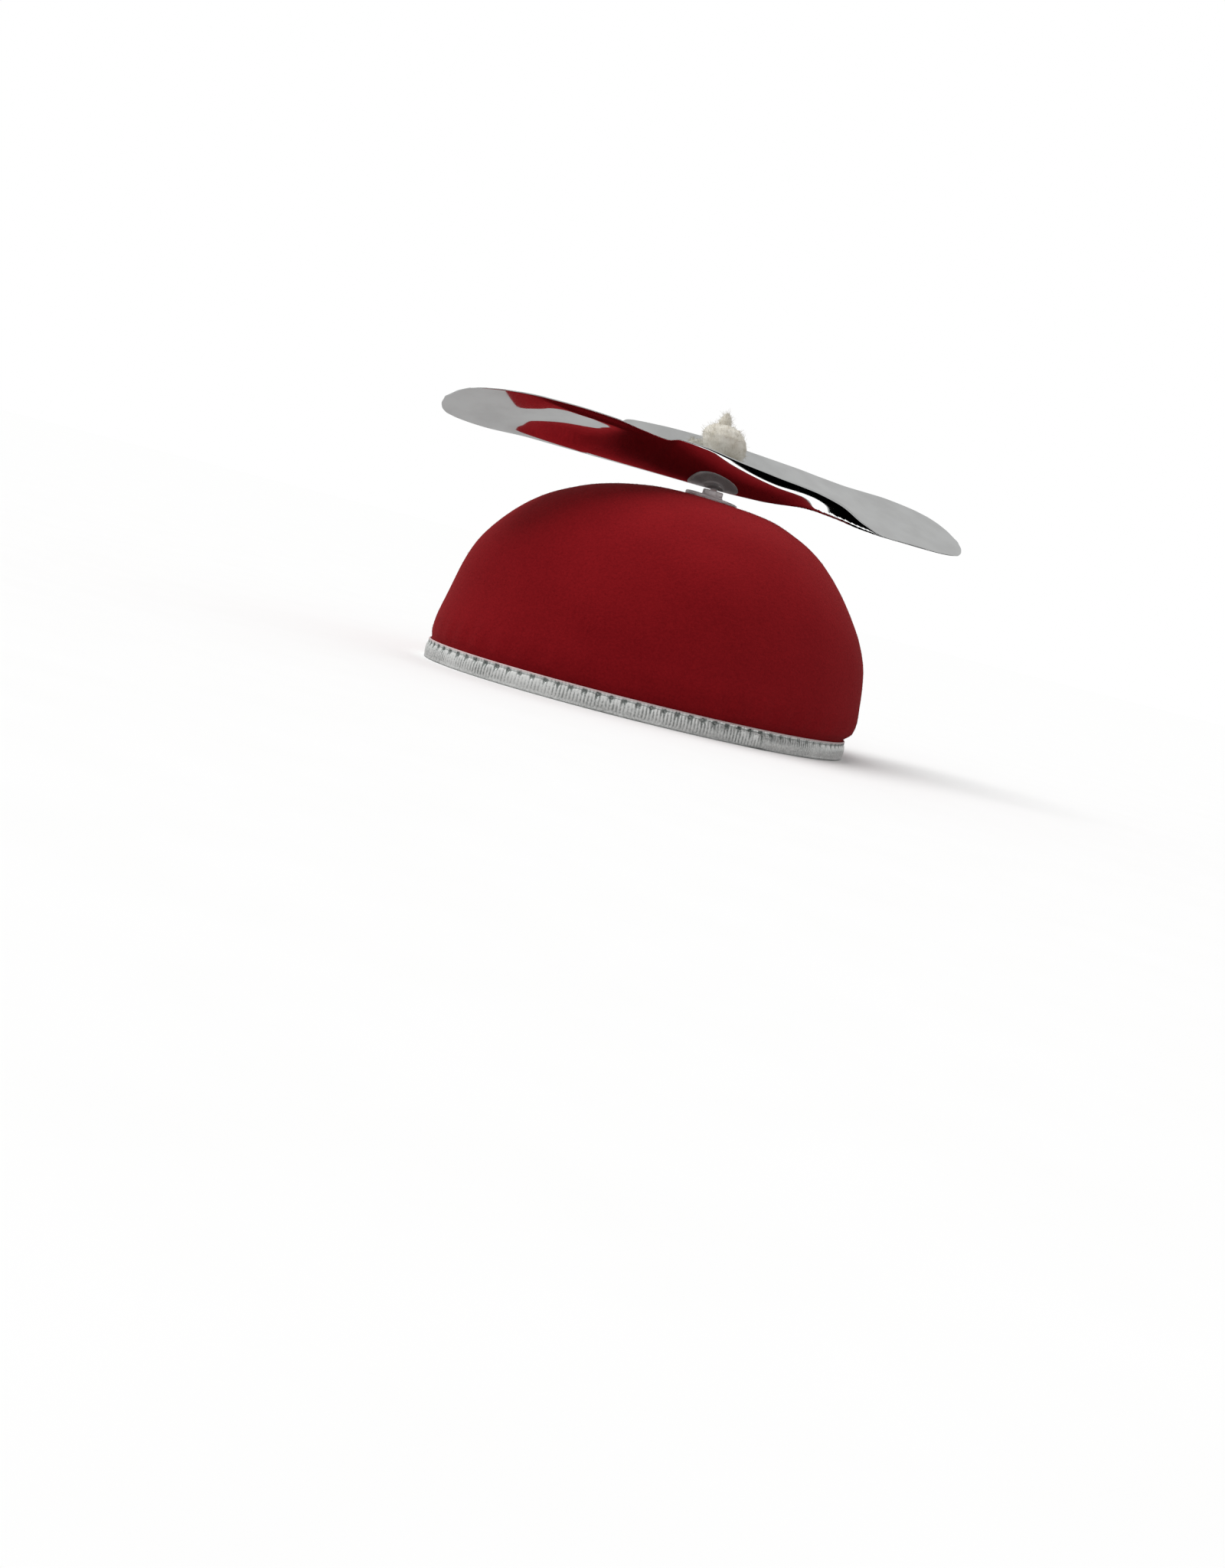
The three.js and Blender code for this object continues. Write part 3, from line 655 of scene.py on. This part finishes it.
def tapeFinish():
    material, finish = newFinish("silverTape")
    place = finish.place()
    height = finish.node("ShaderNodeSeparateXYZ", {}, {"Vector": place}, "Z")
    yarn = finish.grain(place, 2600, 2, (1, 1, 0.35))
    glint = finish.grain(place, 1300, 2)
    uneven = finish.grain(place, 70, 3)
    # painted shade in the tape's hollows and stitch dimples, and painted highlight on its raised ribs and
    # puffs, taken from the stored relief
    paintedReliefShade = finish.attribute("relief").above(binding["paintedShadeBelow"], binding["paintedHighlightOver"])
    # the glint noise adds painted glints to the colour; the large noise is random tone
    light = paintedReliefShade * 0.75 + glint.above(0.35, 0.7) * 0.3 + (uneven - 0.5) * 0.6
    # the dark colour is the painted shade and the near white is the painted highlight
    silverWithPaintedShade = finish.mixColour(light.above(0, 1), colour(0.2, 0.22, 0.21), colour(0.94, 0.95, 0.93))
    selvedge = height.above(binding["selvedgeFrom"] * mm, binding["selvedgeTo"] * mm)
    tinted = finish.mixColour(selvedge * 0.75, silverWithPaintedShade, colour(0.72, 0.5, 0.5))
    finish.surface({
        "Base Color": tinted,
        "Metallic": 0.6 - selvedge * 0.4,
        "Roughness": 0.24 + yarn * 0.2 + selvedge * 0.2,
        "Normal": finish.bump(yarn * 0.6 + glint * 0.4, 0.00012, 0.6),
        "Sheen Weight": 0.1,
    })
    return material


def threadFinish():
    material, finish = newFinish("greyThread")
    twist = finish.grain(finish.place(), 3500, 1)
    base = finish.mixColour(twist, colour(0.22, 0.25, 0.24), colour(0.42, 0.44, 0.43))
    finish.surface({"Base Color": base, "Roughness": 0.6, "Normal": finish.bump(twist, 0.00005)})
    return material


silverTape = tapeFinish()
rimTape = makeTape(silverTape)
makeThread(threadFinish())
makeTapeEnd(silverTape)
print("binding made,", len(rimTape.data.polygons), "faces")


# Clear spindle: flange, stem, pin and post in one moulding
spindle = {
    "flangeTilt": 4,  # degrees down towards the back
    "flangeThick": 2.3,
    "flangeClear": 0.12,  # above the felt
    "stemWidth": 9,
    "stemHeight": 3.2,
    "notchDepth": 0.7,  # four moulded notches at the stem's top
    "pinWidth": 3,
    "pinLength": 25,
    "postWidth": 5,
    "postLength": 5.6,
    "sides": 112,
}


def findCrown():
    low, high = capTop / 2, capTop
    for _ in range(40):
        middle = (low + high) / 2
        if smoothFeltPoint(np.array(math.pi / 2), np.array(middle))[1] > spindleBack:
            low = middle
        else:
            high = middle
    return Vector(smoothFeltPoint(np.array(math.pi / 2), np.array(high)))


spindleFoot = findCrown()
spindleTurn = Matrix.Translation(spindleFoot) @ Matrix.Rotation(math.radians(spindleLean), 4, "Y")


def onSpindle(points):
    spots = np.asarray(points, dtype=float)
    turn = np.array(spindleTurn)
    return spots @ turn[:3, :3].T + turn[:3, 3]


def makeSpindle(plastic):
    felt = feltCap.data
    surface = BVHTree.FromPolygons([v.co for v in felt.vertices], [p.vertices for p in felt.polygons])
    flange, stem, thick = flangeDiameter / 2, spindle["stemWidth"] / 2, spindle["flangeThick"]
    stemTop = thick + spindle["stemHeight"]
    pin, pinTop = spindle["pinWidth"] / 2, stemTop + spindle["pinLength"]
    post = spindle["postWidth"] / 2
    # radius, height and how far each ring shares the flange's tilt
    rows = [
        (pin * 0.45, pinTop, 0),
        (pin * 0.8, pinTop - 0.12, 0),
        (pin, pinTop - 0.5, 0),
        (pin, stemTop + 0.25, 0),
        (pin + 0.3, stemTop, 0),
        (stem - 0.8, stemTop, 0),
        (stem - 0.35, stemTop - 0.08, 0),
        (stem - 0.05, stemTop - 0.4, 0),
        (stem, stemTop - 0.8, 0),
        (stem, thick + 1.5, 0.1),
        (stem + 0.12, thick + 0.9, 0.2),
        (stem + 0.45, thick + 0.4, 0.5),
        (stem + 1.2, thick + 0.08, 0.8),
        (stem + 2.2, thick, 1),
        (flange - 2.6, thick, 1),
        (flange - 2.2, thick + 0.16, 1),
        (flange - 1.2, thick + 0.18, 1),
        (flange - 0.6, thick + 0.1, 1),
        (flange - 0.22, thick - 0.12, 1),
        (flange - 0.03, thick - 0.45, 1),
        (flange, thick - 0.9, 1),
    ]
    angle = np.linspace(0, 2 * math.pi, spindle["sides"], endpoint=False)
    notch = np.clip(np.cos(4 * angle), 0, 1) ** 8

    def circle(radius, height):
        x, y = radius * np.cos(angle), radius * np.sin(angle)
        return onSpindle(np.stack([x, y, height + 0 * angle], axis=-1))

    rings = []
    for radius, height, share in rows:
        atNotch = abs(radius - stem) < 0.5 and height > thick + 1
        reach = radius - (spindle["notchDepth"] * notch if atNotch else 0 * angle)
        x, y = reach * np.cos(angle), reach * np.sin(angle)
        tilt = math.radians(spindle["flangeTilt"]) * share
        turned = np.stack([x, y * math.cos(tilt), height - y * math.sin(tilt)], axis=-1)
        rings.append(onSpindle(turned))
    for radius in (flange - 0.15, flange * 0.8, flange * 0.55, post + 0.8, post + 0.2):
        ring = circle(radius, 0)
        for point in ring:
            above = Vector((point[0], point[1] - spindleBack, point[2] + 12)) * mm
            hit = surface.ray_cast(above, Vector((0, 0, -1)))[0]
            if hit:
                point[2] = hit.z / mm + spindle["flangeClear"]
        rings.append(ring)
    bottom = -spindle["postLength"]
    rings += [circle(post, -1.5), circle(post, bottom + 0.3), circle(post - 0.3, bottom)]
    shape = skin(np.array(rings), onSpindle([(0, 0, pinTop)])[0], onSpindle([(0, 0, bottom)])[0])
    return makePiece("clearSpindle", shape, plastic, "hat", "spindle")


def plasticFinish(name, tint, through):
    material, finish = newFinish(name)
    place = finish.place()
    cloud = finish.grain(place, 260, 3)
    scuff = finish.grain(place, 1400, 2, (1, 1, 0.3))
    base = finish.mixColour(cloud.above(0.3, 0.7), tint, colour(*[0.82 * part for part in tint[:3]]))
    finish.surface({
        "Base Color": base,
        "Roughness": 0.2 + scuff * 0.25,
        "Normal": finish.bump(scuff * 0.3 + cloud * 0.7, 0.0001, 0.4),
        "Transmission Weight": through,
        "IOR": 1.46,
    })
    return material


clearPlastic = plasticFinish("clearPlastic", colour(0.9, 0.84, 0.84), 0.62)
makeSpindle(clearPlastic)
nut = bpy.data.objects["spindle_nut"]
for slotPlace in nut.material_slots:
    slotPlace.material = clearPlastic
print("spindle made")


# Propeller: one bent mirror sheet
blades = {
    "length": 257,
    "width": 44,
    "hubWidth": 29.5,
    "rise": 20,
    "thick": 0.6,
    "hubLevel": 5.8,  # the sheet's lower face at the pin, above the felt
    "boreWidth": 3.8,
    "buckle": 0.03,
    "lipSharpness": 9,
    "rows": 260,
    "columns": 46,
}

# place along half the length, heights of the left and the right edge, the lowest line and its height, how the
# sides curl up, and the share of the left edge's height that turns up sharply
sheetSections = np.array([
    (-1.0, 0.86, -0.04, -1.0, -0.04, 1.0, 0.0),
    (-0.8, 0.84, -0.05, -1.0, -0.05, 1.0, 0.0),
    (-0.62, 0.83, 0.0, -1.0, 0.0, 1.03, 0.0),
    (-0.5, 0.81, 0.04, -0.9, 0.0, 1.1, 0.0),
    (-0.4, 0.75, 0.5, -0.72, 0.0, 1.25, 0.04),
    (-0.3, 0.715, 0.96, -0.5, 0.0, 1.4, 0.08),
    (-0.25, 0.79, 1.0, -0.42, 0.0, 1.45, 0.11),
    (-0.15, 0.79, 1.04, -0.25, 0.0, 1.55, 0.18),
    (0.0, 0.71, 1.06, 0.0, 0.0, 1.6, 0.28),
    (0.15, 0.635, 1.035, 0.44, 0.03, 1.35, 0.35),
    (0.3, 0.56, 1.01, 0.83, 0.14, 1.1, 0.2),
    (0.4, 0.44, 0.99, 0.92, 0.1, 1.0, 0.15),
    (0.5, 0.18, 0.95, 0.96, 0.03, 1.0, 0.1),
    (0.62, 0.0, 0.92, 1.0, 0.0, 1.03, 0.0),
    (0.8, 0.02, 0.95, 1.0, 0.0, 1.0, 0.0),
    (1.0, 0.04, 0.98, 1.0, 0.0, 1.0, 0.0),
])

# how the front blade rises from its low edge to its high one, halfway out
frontBlade = np.array([
    (0.0, 0.0),
    (0.25, 0.3),
    (0.45, 0.54),
    (0.6, 0.66),
    (0.75, 0.75),
    (0.93, 0.85),
    (1.0, 1.0),
])

# one blade's outline from the pin: place along, then the reach of its high and its low edge
bladeOutline = np.array([
    (0.0, 1.0, 1.0),
    (0.5, 1.0, 1.0),
    (0.66, 0.98, 1.0),
    (0.76, 0.94, 1.0),
    (0.83, 0.85, 0.99),
    (0.89, 0.73, 0.95),
    (0.94, 0.56, 0.86),
    (0.967, 0.38, 0.72),
    (0.987, 0.14, 0.52),
    (1.0, -0.22, 0.26),
])


def alongTable(table, column, along):
    places, values = table[:, 0], table[:, column]
    last = len(places) - 1
    i = np.clip(np.searchsorted(places, along, side="left") - 1, 0, last - 1)
    t = np.clip((along - places[i]) / (places[i + 1] - places[i]), 0, 1)
    before, after = values[np.maximum(i - 1, 0)], values[np.minimum(i + 2, last)]
    return smoothBetween(before, values[i], values[i + 1], after, t)


def sheetPoint(across, along):
    valley = alongTable(sheetSections, 3, along) + 0 * across
    left = across > valley
    room = np.where(left, 1 - valley, 1 + valley)
    share = np.clip(np.abs(across - valley) / np.maximum(room, 1e-6), 0, 1)
    lip = np.where(left, alongTable(sheetSections, 6, along), 0)
    curled = (1 - lip) * share ** alongTable(sheetSections, 5, along) + lip * share ** blades["lipSharpness"]
    bent = np.where(left, smoothStep(-along, 0.35, 0.5) - smoothStep(-along, 0.6, 0.8), 0)
    rise = curled + (alongTable(frontBlade, 1, share) - curled) * bent
    low = alongTable(sheetSections, 4, along)
    edge = np.where(left, alongTable(sheetSections, 1, along), alongTable(sheetSections, 2, along))
    waist = blades["hubWidth"] / blades["width"]
    waist = waist + (1 - waist) * smoothStep(np.abs(along), 0, 0.45)
    x = blades["width"] / 2 * across * waist
    y = blades["length"] / 2 * along + 0 * across
    z = blades["rise"] * (low + (edge - low) * rise)
    buckle = np.sin(y / 13 + x / 9) * np.sin(x / 11 - 0.6) * smoothStep(np.abs(along), 0.05, 0.3)
    return np.stack([x, y, z + blades["buckle"] * buckle], axis=-1)


def sheetNormal(across, along):
    step = 2e-3
    sideways = sheetPoint(across + step, along) - sheetPoint(across - step, along)
    lengthways = sheetPoint(across, along + step) - sheetPoint(across, along - step)
    normal = np.cross(sideways, lengthways)
    return normal / np.linalg.norm(normal, axis=-1)[..., None]


def makePropeller(mirror):
    share = np.linspace(-1, 1, blades["rows"] + 1)[1:-1, None]
    along = 1.4 * share - 0.4 * share ** 3
    high = alongTable(bladeOutline, 1, np.abs(along))
    low = alongTable(bladeOutline, 2, np.abs(along))
    left, right = np.where(along < 0, -low, -high), np.where(along < 0, high, low)
    # columns crowd at both edges, where the sheet is rounded off, and half of them lie on each side of the fold
    even = 0.5 - 0.5 * np.cos(np.linspace(0, math.pi, blades["columns"] + 1))[None, :]
    fold = np.clip((alongTable(sheetSections, 3, along) - left) / (right - left), 0.12, 0.88)
    spread = np.where(even < 0.5, 2 * even * fold, fold + (2 * even - 1) * (1 - fold))
    across = left + (right - left) * spread
    middle = sheetPoint(across, along)
    normal = sheetNormal(across, along)
    rounding = np.sqrt(np.clip(np.minimum(spread, 1 - spread) / 0.004, 0.12, 1))
    half = blades["thick"] / 2 * rounding
    up, down = middle + normal * half[..., None], middle - normal * half[..., None]
    rings = np.concatenate([down, up[:, ::-1]], axis=1)
    rings[..., 2] += blades["hubLevel"] + blades["thick"] / 2
    rings = onSpindle(rings.reshape(-1, 3)).reshape(rings.shape)
    shape = skin(rings, rings[0].mean(axis=0), rings[-1].mean(axis=0))
    piece = makePiece("mirrorPropeller", shape, mirror, "propeller_body", "propeller")
    cutHole(piece, blades["boreWidth"] / 2, spindleFoot.z + blades["hubLevel"])
    return piece


def mirrorFinish():
    material, finish = newFinish("mirrorSheet")
    place = finish.place()
    haze = finish.grain(place, 90, 3)
    scratch = finish.grain(place, 700, 2, (1, 0.06, 1))
    swell = finish.grain(place, 28, 1)
    base = finish.mixColour(haze.above(0.3, 0.8), colour(0.66, 0.67, 0.665), colour(0.58, 0.585, 0.58))
    finish.surface({
        "Base Color": base,
        "Metallic": 1.0,
        "Roughness": 0.035 + haze.above(0.4, 0.9) * 0.05 + scratch.above(0.62, 0.8) * 0.04,
        "Normal": finish.bump(swell, 0.0001, 0.12),
    })
    return material


propeller = makePropeller(mirrorFinish())
print("propeller made,", len(propeller.data.polygons), "faces")


# Tuft on the pin's end
tuft = {
    "foot": 8.6,  # above the felt
    "width": 20.5,
    "height": 25.5,
    "lean": 3.2,  # forward, at the top
    "lumps": 20,
    "lockLumps": 8,
    "strands": 1300,
    "strandLength": 2.4,
    "strandThick": 0.12,
    "seed": 11,
}

# outline of its head: share of half the width, and share of the height
tuftHead = [
    (0.3, 0.0),
    (0.34, 0.1),
    (0.46, 0.24),
    (0.64, 0.38),
    (0.84, 0.52),
    (0.96, 0.68),
    (0.92, 0.8),
    (0.74, 0.91),
    (0.44, 0.98),
    (0.2, 1.0),
]
lockHead = [(0.5, 0.0), (1.0, 0.3), (0.9, 0.55), (0.6, 0.8), (0.25, 1.0)]

# locks that stand out of its top, the first as a ragged peak: middle from the head's top, half the width and
# the height, loose ends and their length
tuftLocks = [
    (0, -3.4, 1, 3.1, 4, 200, 2.4),
    (1.5, 2.6, -3.6, 3.4, 2.8, 120, 1.6),
    (1.0, -6.6, -4.5, 3.6, 3.2, 120, 1.6),
]


# a ball of yarn with a ragged outline, and loose ends all over it
def yarnBall(chance, middle, half, outline, lumpCount, strands, strandLength, lean=0):
    lumps = []
    for _ in range(lumpCount):
        heading, lift = chance.uniform(0, 2 * math.pi), chance.uniform(0.2, 1)
        lumps.append((heading, lift, chance.uniform(0.08, 0.22), chance.uniform(0.3, 0.55)))
    angle = np.linspace(0, 2 * math.pi, 96, endpoint=False)
    heights = np.linspace(0, 1, 56)
    radii = np.interp(heights, [row[1] for row in outline], [row[0] for row in outline])
    rings = []
    for height, radius in zip(heights, radii):
        swell = 0.9 + 0 * angle
        for heading, lift, deep, wide in lumps:
            gap = np.angle(np.exp(1j * (angle - heading)))
            swell = swell + deep * np.exp(-(gap / wide) ** 2 - ((height - lift) / (wide * 0.5)) ** 2)
        reach = half[0] * radius * np.minimum(swell, 1.08)
        up = half[1] * (2 * height - 1) * (0.97 + 0.03 * swell)
        forward = lean * smoothStep(height, 0.35, 1)
        rings.append(np.stack([reach * np.cos(angle), reach * np.sin(angle) - forward, up], axis=-1))
    rings = np.array(rings) + middle
    skins = [skin(rings, rings[0].mean(axis=0), rings[-1].mean(axis=0))]
    spots = rings[18:].reshape(-1, 3)  # no loose ends low down, where the propeller turns
    share = np.linspace(0, 1, 6)[:, None]
    for i in range(strands):
        root = spots[chance.randrange(len(spots))]
        out = root - middle
        out /= np.linalg.norm(out)
        way = out * chance.uniform(0.05, 0.5) + np.array([chance.gauss(0, 1) for _ in range(3)]) * 0.5
        way /= np.linalg.norm(way)
        curl = np.array([chance.gauss(0, 1) for _ in range(3)]) * 0.9
        length = chance.uniform(0.4, 1) * strandLength
        path = root - out * 0.25 + way * length * share + curl * length * 0.3 * share ** 2
        path = path + 0.12 * length * np.sin(share * 7 + i) * np.cross(way, out)
        skins.append(tube(path, tuft["strandThick"] / 2 * np.linspace(1.2, 0.5, 6), 3))
    return skins


def makeTuft(yarn):
    chance = random.Random(tuft["seed"])
    half = (tuft["width"] / 2, tuft["height"] / 2)
    middle = np.array([0, 0, tuft["foot"] + half[1]])
    ends = (tuft["strands"], tuft["strandLength"])
    skins = yarnBall(chance, middle, half, tuftHead, tuft["lumps"], *ends, tuft["lean"])
    top = tuft["foot"] + tuft["height"]
    for x, y, z, halfWidth, halfHeight, *ends in tuftLocks:
        middle = np.array([x, y, top + z])
        skins += yarnBall(chance, middle, (halfWidth, halfHeight), lockHead, tuft["lockLumps"], *ends)
    points, faces = joined(skins)
    return makePiece("yarnTuft", (onSpindle(points).tolist(), faces), yarn, "hat", "top_tuft")


def yarnFinish():
    material, finish = newFinish("creamYarn")
    place = finish.place()
    clump = finish.grain(place, 260, 3)
    strand = finish.grain(place, 2400, 2, (1, 1, 0.3))
    shade = (clump - 0.5) * 1.1 + (strand - 0.5) * 0.5 + 0.5
    base = finish.mixColour(shade.above(0.1, 0.9), colour(0.66, 0.61, 0.51), colour(0.88, 0.85, 0.77))
    finish.surface({
        "Base Color": base,
        "Roughness": 0.95,
        "Normal": finish.bump(strand, 0.0002, 0.5),
        "Specular IOR Level": 0.1,
        "Sheen Weight": 0.3,
        "Sheen Roughness": 0.5,
    })
    return material


yarnTuft = makeTuft(yarnFinish())
print("tuft made,", len(yarnTuft.data.polygons), "faces")


# Studio: white paper under a high soft light, and cards that only the mirror sees
studio = {
    "floorWidth": 30,
    "floorShade": 0.95,
    "mirroredShade": 0.52,  # the paper as the hat's own pieces see it
    "sky": 0.5,
    "mirroredSky": 0.62,
    "sunWay": (-0.25, -0.35, 1),  # towards the light
    "sunPower": 1.9,
    "sunWidth": 50,  # degrees
}

# name, middle in metres, turn and tilt in degrees, width, depth, brightness
mirrorCards = [
    ("darkRoom", (0.16, 0.16, 0.051), 90, 90, 0.36, 0.1, 0.0),
    ("whiteDesk", (0.13, 0.14, 0.001), 0, 0, 0.05, 0.3, 1.7),
    ("darkDesk", (-0.05, 0.19, 0.0015), 0, 0, 0.31, 0.21, 0.0),
]


def flatSheet(name, width, height):
    x, y = width / 2, height / 2
    mesh = bpy.data.meshes.new(name)
    mesh.from_pydata([(-x, -y, 0), (x, -y, 0), (x, y, 0), (-x, y, 0)], [], [(0, 1, 2, 3)])
    sheet = bpy.data.objects.new(name, mesh)
    bpy.context.scene.collection.objects.link(sheet)
    return sheet


def makeFloor():
    floor = flatSheet("studioFloor", studio["floorWidth"], studio["floorWidth"])
    material, finish = newFinish("whitePaper")
    paper = finish.grain(finish.place(), 30, 3)
    seen = finish.node("ShaderNodeLightPath", {}, {}, "Is Camera Ray")
    shade, mirrored = studio["floorShade"], studio["mirroredShade"]
    speck = colour(shade * 0.98, shade * 0.98, shade * 0.975)
    white = finish.mixColour(paper, colour(shade, shade, shade), speck)
    base = finish.mixColour(seen, colour(mirrored, mirrored, mirrored), white)
    finish.surface({"Base Color": base, "Roughness": 0.9, "Specular IOR Level": 0.0})
    floor.data.materials.append(material)


def makeCard(name, middle, azimuth, tilt, width, height, brightness):
    card = flatSheet(name, width, height)
    card.location = middle
    card.rotation_euler = (math.radians(tilt), 0, math.radians(azimuth))
    card.visible_camera = False
    card.visible_diffuse = False
    card.visible_shadow = False
    material, finish = newFinish(name)
    glow = finish.node("ShaderNodeEmission", {}, {"Color": colour(1, 1, 1), "Strength": brightness})
    finish.end("ShaderNodeOutputMaterial", glow)
    card.data.materials.append(material)


def makeLight():
    light = bpy.data.lights.new("highLight", "SUN")
    light.energy = studio["sunPower"]
    light.angle = math.radians(studio["sunWidth"])
    sun = bpy.data.objects.new("highLight", light)
    sun.rotation_euler = Vector(studio["sunWay"]).to_track_quat("Z", "Y").to_euler()
    bpy.context.scene.collection.objects.link(sun)

    world = bpy.data.worlds.new("studioAir")
    world.use_nodes = True
    bpy.context.scene.world = world
    finish = Finish(world.node_tree)
    seen = finish.node("ShaderNodeLightPath", {}, {}, "Is Camera Ray")
    mirrored = finish.node("ShaderNodeLightPath", {}, {}, "Is Glossy Ray")
    strength = studio["sky"] + seen * (1 - studio["sky"]) + mirrored * (studio["mirroredSky"] - studio["sky"])
    air = finish.node("ShaderNodeBackground", {}, {"Color": colour(1, 1, 1), "Strength": strength})
    finish.end("ShaderNodeOutputWorld", air)
    bpy.context.scene.view_settings.view_transform = "Standard"


makeFloor()
for card in mirrorCards:
    makeCard(*card)
makeLight()
print("studio made")
